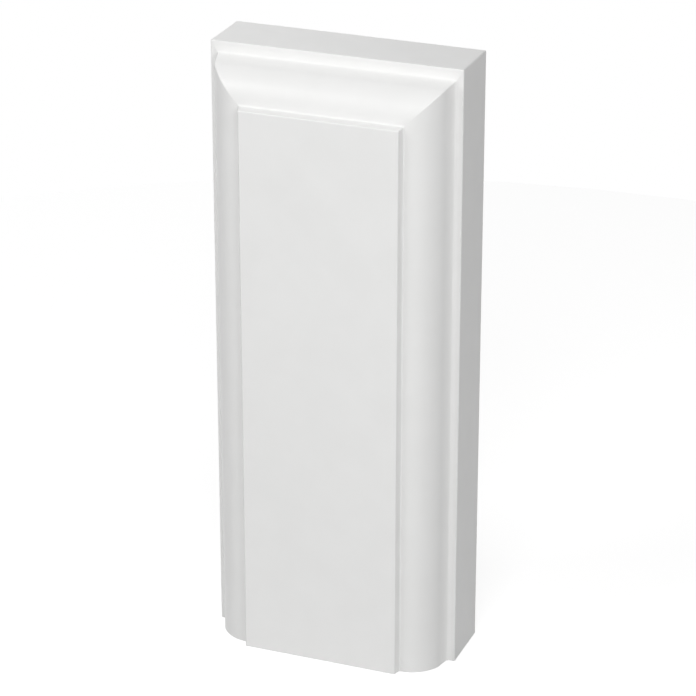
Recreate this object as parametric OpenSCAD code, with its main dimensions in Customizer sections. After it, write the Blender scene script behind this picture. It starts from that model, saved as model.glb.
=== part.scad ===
// Plinth block for the foot of a door casing, moulded in one piece.
// A flat board stands on the floor with its back to the wall. On its face an ovolo
// moulding runs up the left side, across the top and down the right side, mitred at
// both corners, around a flat raised panel. The panel and the two side mouldings run
// out square at the floor. The front faces -Y, and the floor is at Z = 0.

/* [Block] */
// Width across the wall
block_w = 114.3; // [90:0.1:200]
// Height from the floor to the top
block_h = 279.4; // [120:0.1:400]
// Thickness of the board behind the moulding
board_t = 28.6; // [12:0.1:45]

/* [Moulding] */
// Radius of the ovolo
ovolo_r = 16.4; // [8:0.1:24]
// Radius of the cove at the foot of the ovolo, which runs it out onto the flat margin
cove_r = 0.9; // [0.3:0.1:1.5]
// Flat margin between the cove and the board's left or right edge
side_margin = 2.8; // [1.8:0.1:8]
// Flat margin between the cove and the board's top edge
top_margin = 4.4; // [1.8:0.1:10]

/* [Panel] */
// Stand-out of the panel's face from the crown of the ovolo
panel_rise = 3.6; // [2:0.1:8]
// Slope of the step around the panel, from its foot in to its arris
panel_draft = 1.0; // [0.2:0.1:3]

/* [Edges] */
// Radius of the outside arrises
arris_r = 0.6; // [0.2:0.1:1]
// Radius of the hollow at the foot of the panel's step
hollow_r = 1.0; // [0.3:0.1:1.2]

/* [Hidden] */
$fn = 120;

// Stand-out of the ovolo's crown from the board, which is also its width with the cove,
// then that of the panel's face, and the block's whole thickness
crown_t = cove_r + ovolo_r;
moulding_t = crown_t + panel_rise;
block_t = board_t + moulding_t;

// The board's face, the wall face, and the centres of the ovolo's arcs
face_y = block_t / 2 - board_t;
wall_y = block_t / 2;
side_arc_x = block_w / 2 - side_margin - crown_t;
top_arc_z = block_h - top_margin - crown_t;

// Lean of the step from square
step_lean = atan(panel_draft / panel_rise);

// Extra length of each extrusion, which the other two cut off
spare = 1;

// Depth that a round dips into the faces on either side, so that it crosses them cleanly
bite = 0.002;

// What lies between a corner and the round of radius r in it: it is cut from an arris
// or added to a crease. The round's centre is the origin, and it runs from one
// direction to the other, in degrees.
module beyond_round(from, to, r) {
    one = 2 * r * [cos(from), sin(from)];
    other = 2 * r * [cos(to), sin(to)];
    difference() {
        polygon([[0, 0], one, one + other, other]);
        circle(r);
    }
}

// A rectangle standing on y = 0, with its two upper corners rounded
module soft_topped(width, height) {
    difference() {
        translate([-width / 2, 0])
            square([width, height]);
        both_sides()
            translate([width / 2 - arris_r, height - arris_r])
                beyond_round(0, 90, arris_r);
    }
}

module both_sides() {
    children();
    mirror([1, 0])
        children();
}

// Section of the ovolo, which springs from its cove. The origin lies on the board's face
// below the centre of the arc, x runs to the board's edge and y out of its face.
module ovolo() {
    translate([0, cove_r])
        intersection() {
            circle(ovolo_r);
            translate([0, -cove_r])
                square([ovolo_r, crown_t]);
        }
    translate([crown_t - bite, cove_r - bite])
        beyond_round(180, 270, cove_r);
}

// Section of the raised panel, on the ovolo's origin. Its step stands on the crown of
// the ovolo, with a hollow at its foot and a rounded arris at its edge.
module panel(reach) {
    arris_depth = arris_r - bite;
    arris_in = arris_depth / tan(45 + step_lean / 2);
    hollow_arm = ovolo_r + hollow_r - bite;
    hollow_offset = ovolo_r * sin(step_lean) + hollow_r - bite;
    hollow_turn = 90 + step_lean - asin(hollow_offset / hollow_arm);
    difference() {
        polygon([
            [-reach, 0],
            [0, 0],
            [0, crown_t],
            [-panel_draft, moulding_t],
            [-reach, moulding_t]
        ]);
        translate([-panel_draft - arris_in, moulding_t - arris_depth])
            beyond_round(step_lean, 90, arris_r);
    }
    translate([0, cove_r] + hollow_arm * [cos(hollow_turn), sin(hollow_turn)])
        beyond_round(180 + step_lean, 180 + hollow_turn, hollow_r);
}

module moulding(reach) {
    ovolo();
    panel(reach);
}

// Section of the block level with the floor, with its front along +y
module plan_section() {
    difference() {
        translate([-block_w / 2, -board_t])
            square([block_w, board_t]);
        both_sides() {
            translate([block_w / 2 - arris_r, -arris_r])
                beyond_round(0, 90, arris_r);
            translate([block_w / 2 - arris_r, arris_r - board_t])
                beyond_round(-90, 0, arris_r);
        }
    }
    both_sides()
        translate([side_arc_x, 0])
            moulding(side_arc_x);
}

// Section of the block down its middle, with its height along x and its front along +y
module side_section() {
    translate([0, -board_t / 2])
        rotate(-90)
            soft_topped(board_t, block_h);
    translate([top_arc_z, 0])
        moulding(top_arc_z);
}

// The side mouldings run up the plan, and the top moulding runs across the side section.
// Where the two meet, each is cut by the other, which is the mitre.
module plinth_block() {
    color("whitesmoke")
        intersection() {
            translate([0, face_y, -spare])
                mirror([0, 1, 0])
                    linear_extrude(block_h + 2 * spare)
                        plan_section();
            translate([-block_w / 2 - spare, face_y, 0])
                rotate([0, -90, 180])
                    linear_extrude(block_w + 2 * spare)
                        side_section();
            translate([0, wall_y + spare, 0])
                rotate([90, 0, 0])
                    linear_extrude(block_t + 2 * spare)
                        soft_topped(block_w, block_h);
        }
}

plinth_block();
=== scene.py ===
from math import asin, atan, cos, pi, radians, sin, tan

import bmesh
import bpy
from mathutils import Euler, Matrix, Vector


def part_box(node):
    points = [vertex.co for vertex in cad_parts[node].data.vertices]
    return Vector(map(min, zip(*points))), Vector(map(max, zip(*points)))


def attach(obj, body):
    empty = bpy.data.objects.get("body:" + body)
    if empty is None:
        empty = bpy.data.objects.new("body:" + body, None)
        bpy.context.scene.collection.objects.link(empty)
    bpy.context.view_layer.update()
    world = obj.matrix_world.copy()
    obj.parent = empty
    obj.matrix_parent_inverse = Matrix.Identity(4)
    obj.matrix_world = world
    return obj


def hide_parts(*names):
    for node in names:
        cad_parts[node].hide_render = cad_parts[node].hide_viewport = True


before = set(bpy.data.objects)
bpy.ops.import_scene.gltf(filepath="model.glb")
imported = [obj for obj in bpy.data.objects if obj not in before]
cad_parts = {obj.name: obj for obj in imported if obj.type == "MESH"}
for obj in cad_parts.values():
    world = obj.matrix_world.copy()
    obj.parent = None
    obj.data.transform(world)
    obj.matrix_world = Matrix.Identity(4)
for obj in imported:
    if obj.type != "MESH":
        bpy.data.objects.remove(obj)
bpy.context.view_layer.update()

# The camera stands to the right of the block's front and above it, and looks at the
# middle of the back board through a long lens.
camera_azimuth = radians(21.22)
camera_elevation = radians(23.70)
camera_distance = 1.322
camera_lens = 154.66
camera_aim = Vector((0, 0.0108, 0.1391))

camera = bpy.data.objects.new("camera", bpy.data.cameras.new("camera"))
camera.data.sensor_width = 36
camera.data.lens = camera_lens
camera.data.clip_end = 20
camera.rotation_euler = Euler((pi / 2 - camera_elevation, 0, camera_azimuth))
camera_back = camera.rotation_euler.to_matrix() @ Vector((0, 0, camera_distance))
camera.location = camera_aim + camera_back
bpy.context.collection.objects.link(camera)
bpy.context.scene.camera = camera

# The plinth block is moulded in one piece from dense white foam, and has no fittings and
# no joint in its mitres. It is a slab that stands against the wall, with an ovolo round
# its front, up to the step of a flat raised panel, and a sprayed coat of primer.
board_t = 0.0286
side_margin = 0.0028
top_margin = 0.0044
cove_r = 0.0009
ovolo_r = 0.0164
panel_rise = 0.0036
panel_draft = 0.0010
arris_r = 0.0006
arris_steps = 5
hollow_r = 0.0010
hollow_steps = 8
foot_turns = (0, radians(25))
ovolo_steps = 40
mitre_ease = 0.0004
mitre_steps = 4
foot_ease = 0.0002
same_place = 1e-6

low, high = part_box("plinth_block")
face_y = high.y - board_t
arc_x = high.x - side_margin - cove_r - ovolo_r
arc_z = high.z - top_margin - cove_r - ovolo_r

# The slab's arrises are rounded, except at the foot, where it is cut square
block = bmesh.new()
bmesh.ops.create_cube(block, size=1)
bmesh.ops.scale(block, vec=(high.x - low.x, board_t, high.z), verts=block.verts)
bmesh.ops.translate(block, vec=(0, high.y - board_t / 2, high.z / 2), verts=block.verts)
bmesh.ops.bevel(
    block,
    geom=[e for e in block.edges if max(v.co.z for v in e.verts) > high.z / 2],
    offset=arris_r,
    offset_type="OFFSET",
    affect="EDGES",
    segments=arris_steps,
    profile=0.5,
    material=-1,
)


def lies_at(part, axis, place):
    """Tells whether an edge or a face lies square to an axis at this place on it."""
    return all(abs(getattr(v.co, axis) - place) < same_place for v in part.verts)


# Its front and its underside are open, for the moulding to close
open_faces = [f for f in block.faces if lies_at(f, "y", face_y) or lies_at(f, "z", 0)]
bmesh.ops.delete(block, geom=open_faces, context="FACES")
slab_rim = [e for e in block.edges if e.is_boundary and lies_at(e, "y", face_y)]

# The moulding's section is drawn at the floor on the right, from the margin inwards. The
# primer has filled the foot of the ovolo, so the cove and the first part of the arc are
# two flats, which are shaded into each other.
lean = atan(panel_draft / panel_rise)
hollow_turn = pi / 2 + lean - asin((ovolo_r * sin(lean) + hollow_r) / (ovolo_r + hollow_r))


def outward(angle):
    """The direction at this angle from +X towards the front."""
    return Vector((cos(angle), -sin(angle), 0))


arc_centre = Vector((arc_x, face_y - cove_r, 0))
hollow_centre = arc_centre + (ovolo_r + hollow_r) * outward(hollow_turn)
arris_centre = arc_centre - Vector((
    panel_draft + arris_r / tan(pi / 4 + lean / 2), ovolo_r + panel_rise - arris_r, 0
))


def spin_end(end, centre, angle, steps):
    """Spins the end of the section round a centre, and gives its new end."""
    made = bmesh.ops.spin(
        block, geom=[end], cent=centre, axis=(0, 0, 1), angle=angle, steps=steps
    )
    return next(g for g in made["geom_last"] if isinstance(g, bmesh.types.BMVert))


start = arc_centre + Vector((ovolo_r + cove_r, cove_r, 0))
end = bmesh.ops.create_vert(block, co=start)["vert"][0]
for turn in foot_turns:
    end = bmesh.ops.extrude_vert_indiv(block, verts=[end])["verts"][0]
    end.co = arc_centre + ovolo_r * outward(turn)
end = spin_end(end, arc_centre, foot_turns[-1] - hollow_turn, ovolo_steps)
end = spin_end(end, hollow_centre, hollow_turn - lean, hollow_steps)
end = bmesh.ops.extrude_vert_indiv(block, verts=[end])["verts"][0]
end.co = arris_centre + arris_r * outward(lean)
end = spin_end(end, arris_centre, lean - pi / 2, arris_steps + 1)
section = [e for e in block.edges if e.is_wire]


def run(edges, move):
    """Extrudes the section along a run of the moulding, and gives the edges there."""
    made = bmesh.ops.extrude_edge_only(block, edges=edges)["geom"]
    far = {g for g in made if isinstance(g, bmesh.types.BMVert)}
    bmesh.ops.transform(block, matrix=move, verts=list(far))
    return [
        g for g in made if isinstance(g, bmesh.types.BMEdge) and far.issuperset(g.verts)
    ]


def turn_corner(edges, angle):
    """Carries the section round a mitre, which is eased by a small radius."""
    for _ in range(mitre_steps):
        onward = angle + pi / 2 / mitre_steps
        move = Vector((cos(onward) - cos(angle), 0, sin(onward) - sin(angle)))
        edges = run(edges, Matrix.Translation(mitre_ease * move))
        angle = onward
    return edges


# It runs up the right side, across the top and down the left side
up_to_mitre = Matrix((
    (1, 0, 0, 0), (0, 1, 0, 0), (1, 0, 0, arc_z - arc_x - mitre_ease), (0, 0, 0, 1)
))
edges = turn_corner(run(section, up_to_mitre), 0)
edges = turn_corner(run(edges, Matrix.Diagonal((-1, 1, 1, 1))), pi / 2)
run(edges, Matrix.Diagonal((1, 1, 0, 1)))

# The panel, the flat margins and the underside close it
moulding_rims = [e for e in block.edges if e.is_boundary and e not in set(slab_rim)]
panel = {v for e in moulding_rims if lies_at(e, "y", low.y) for v in e.verts}
bmesh.ops.contextual_create(block, geom=list(panel))
foot_rim = [e for e in moulding_rims if lies_at(e, "y", face_y)]
bmesh.ops.bridge_loops(block, edges=slab_rim + foot_rim)
open_edges = [e for e in block.edges if e.is_boundary]
underside = bmesh.ops.contextual_create(block, geom=open_edges)["faces"]
bmesh.ops.recalc_face_normals(block, faces=block.faces)

# The outline of the foot is eased as it leaves the saw
sawn = bmesh.ops.inset_region(block, faces=underside, thickness=foot_ease)["faces"]
outline = {v for f in sawn for v in f.verts} - set(underside[0].verts)
bmesh.ops.translate(block, vec=(0, 0, foot_ease), verts=list(outline))
for f in block.faces:
    f.smooth = True
for e in {e for f in sawn for e in f.edges}:
    e.smooth = False

# The flat faces are shaded flat, and only the rows at the ovolo's foot stay soft
row_depths = [arc_centre.y - ovolo_r * sin(turn) for turn in foot_turns]
block.verts.index_update()
foot_rows = [
    v.index for v in block.verts if min(abs(v.co.y - y) for y in row_depths) < same_place
]
mesh = bpy.data.meshes.new("moulded_block")
block.to_mesh(mesh)
block.free()
moulded_block = bpy.data.objects.new("moulded_block", mesh)
bpy.context.collection.objects.link(moulded_block)
soft_foot = moulded_block.vertex_groups.new(name="soft_foot")
soft_foot.add(foot_rows, 1, "REPLACE")
flat = moulded_block.modifiers.new("flat_faces", "WEIGHTED_NORMAL")
flat.keep_sharp = True
flat.vertex_group = soft_foot.name
flat.invert_vertex_group = True

# The primer is a satin white, sprayed in one thin coat. It dries to a fine orange peel on
# a surface that waves very slightly, and a little duller in some patches than in others.
dark_tone = (0.832, 0.832, 0.824, 1)
light_tone = (0.850, 0.850, 0.843, 1)
tone_width = 0.018
glossiest = 0.28
dullest = 0.34
gloss_width = 0.007
reflection = 0.36
wave_width = 0.020
wave_depth = 0.00004
peel_width = 0.0012
peel_depth = 0.000010
noise_low = 0.3
noise_high = 0.7

primer = bpy.data.materials.new("white_primer")
primer.use_nodes = True
nodes, links = primer.node_tree.nodes, primer.node_tree.links
coat = nodes["Principled BSDF"]
place = nodes.new("ShaderNodeTexCoord")


def noise(width, detail):
    """A cloudy pattern whose patches are about this wide, in metres."""
    pattern = nodes.new("ShaderNodeTexNoise")
    pattern.inputs["Scale"].default_value = 1 / width
    pattern.inputs["Detail"].default_value = detail
    links.new(place.outputs["Object"], pattern.inputs["Vector"])
    return pattern.outputs["Fac"]


def spread(pattern, low, high):
    """Spreads a noise pattern over a range, from where most of it starts and ends."""
    fit = nodes.new("ShaderNodeMapRange")
    fit.inputs["From Min"].default_value = noise_low
    fit.inputs["From Max"].default_value = noise_high
    fit.inputs["To Min"].default_value = low
    fit.inputs["To Max"].default_value = high
    links.new(pattern, fit.inputs["Value"])
    return fit.outputs["Result"]


def relief(pattern, depth, under=None):
    """Raises a pattern from the surface by up to its depth, in metres."""
    bump = nodes.new("ShaderNodeBump")
    bump.inputs["Strength"].default_value = 1
    bump.inputs["Distance"].default_value = depth
    links.new(pattern, bump.inputs["Height"])
    if under:
        links.new(under, bump.inputs["Normal"])
    return bump.outputs["Normal"]


tone = nodes.new("ShaderNodeMix")
tone.data_type = "RGBA"
tone.inputs["A"].default_value = dark_tone
tone.inputs["B"].default_value = light_tone
links.new(spread(noise(tone_width, detail=3), 0, 1), tone.inputs["Factor"])
links.new(tone.outputs["Result"], coat.inputs["Base Color"])
dullness = spread(noise(gloss_width, detail=2), glossiest, dullest)
links.new(dullness, coat.inputs["Roughness"])
coat.inputs["Specular IOR Level"].default_value = reflection
wave = relief(noise(wave_width, detail=0), wave_depth)
peel = relief(noise(peel_width, detail=1), peel_depth, under=wave)
links.new(peel, coat.inputs["Normal"])
mesh.materials.append(primer)

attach(moulded_block, "root")
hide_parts("plinth_block")

# The floor is a round sheet of white card. To the camera and in reflections it gives off
# enough light to read as white, and it keeps the block's shadow.
floor_r = 0.6
floor_segments = 64
floor_tone = (0.4, 0.4, 0.4, 1)
floor_glow = 0.79

floor_mesh = bmesh.new()
bmesh.ops.create_circle(floor_mesh, cap_ends=True, segments=floor_segments, radius=floor_r)
mesh = bpy.data.meshes.new("floor")
floor_mesh.to_mesh(mesh)
floor_mesh.free()
floor = bpy.data.objects.new("floor", mesh)
bpy.context.collection.objects.link(floor)


def seen(nodes, links):
    """Gives 1 to the camera and in a reflection, or through glass, and otherwise 0."""
    path = nodes.new("ShaderNodeLightPath")
    level = path.outputs["Is Camera Ray"]
    for other in ("Is Glossy Ray", "Is Transmission Ray"):
        either = nodes.new("ShaderNodeMath")
        either.operation = "MAXIMUM"
        links.new(level, either.inputs[0])
        links.new(path.outputs[other], either.inputs[1])
        level = either.outputs[0]
    return level


card = bpy.data.materials.new("white_card")
card.use_nodes = True
nodes, links = card.node_tree.nodes, card.node_tree.links
surface = nodes["Principled BSDF"]
surface.inputs["Base Color"].default_value = floor_tone
surface.inputs["Roughness"].default_value = 1
surface.inputs["Specular IOR Level"].default_value = 0
surface.inputs["Emission Color"].default_value = (1, 1, 1, 1)
strength = nodes.new("ShaderNodeMath")
strength.operation = "MULTIPLY"
strength.inputs[1].default_value = floor_glow
links.new(seen(nodes, links), strength.inputs[0])
links.new(strength.outputs[0], surface.inputs["Emission Strength"])
mesh.materials.append(card)

# The room is white to the camera and in reflections, and it gives the block a faint even
# light from all sides.
room_light = 0.02

room = bpy.data.worlds.new("room")
room.use_nodes = True
bpy.context.scene.world = room
nodes, links = room.node_tree.nodes, room.node_tree.links
level = nodes.new("ShaderNodeMapRange")
level.inputs["To Min"].default_value = room_light
level.inputs["To Max"].default_value = 1
air = nodes["Background"]
air.inputs["Color"].default_value = (1, 1, 1, 1)
links.new(seen(nodes, links), level.inputs["Value"])
links.new(level.outputs["Result"], air.inputs["Strength"])

# Three square soft boxes stand round the block's front and above it, each aimed at its
# middle. A wide, weak one hangs behind its left shoulder, where it lights the top.
box_size = 0.7
box_distance = 1.6
wide_size = 2.0
wide_distance = 1.8


def soft_box(name, azimuth, elevation, power, size, distance):
    """Stands a soft box at these angles, in degrees from the front and from level."""
    light = bpy.data.lights.new(name, "AREA")
    light.size = size
    light.energy = power
    box = bpy.data.objects.new(name, light)
    box.rotation_euler = Euler((pi / 2 - radians(elevation), 0, radians(azimuth)))
    back = box.rotation_euler.to_matrix() @ Vector((0, 0, distance))
    box.location = camera_aim + back
    bpy.context.collection.objects.link(box)


soft_box("right_box", 50, 25, power=9.4, size=box_size, distance=box_distance)
soft_box("front_box", 15, 33, power=10.6, size=box_size, distance=box_distance)
soft_box("left_box", -45, 33, power=9.8, size=box_size, distance=box_distance)
soft_box("back_box", -130, 42, power=8.2, size=wide_size, distance=wide_distance)

bpy.context.scene.view_settings.view_transform = "Standard"
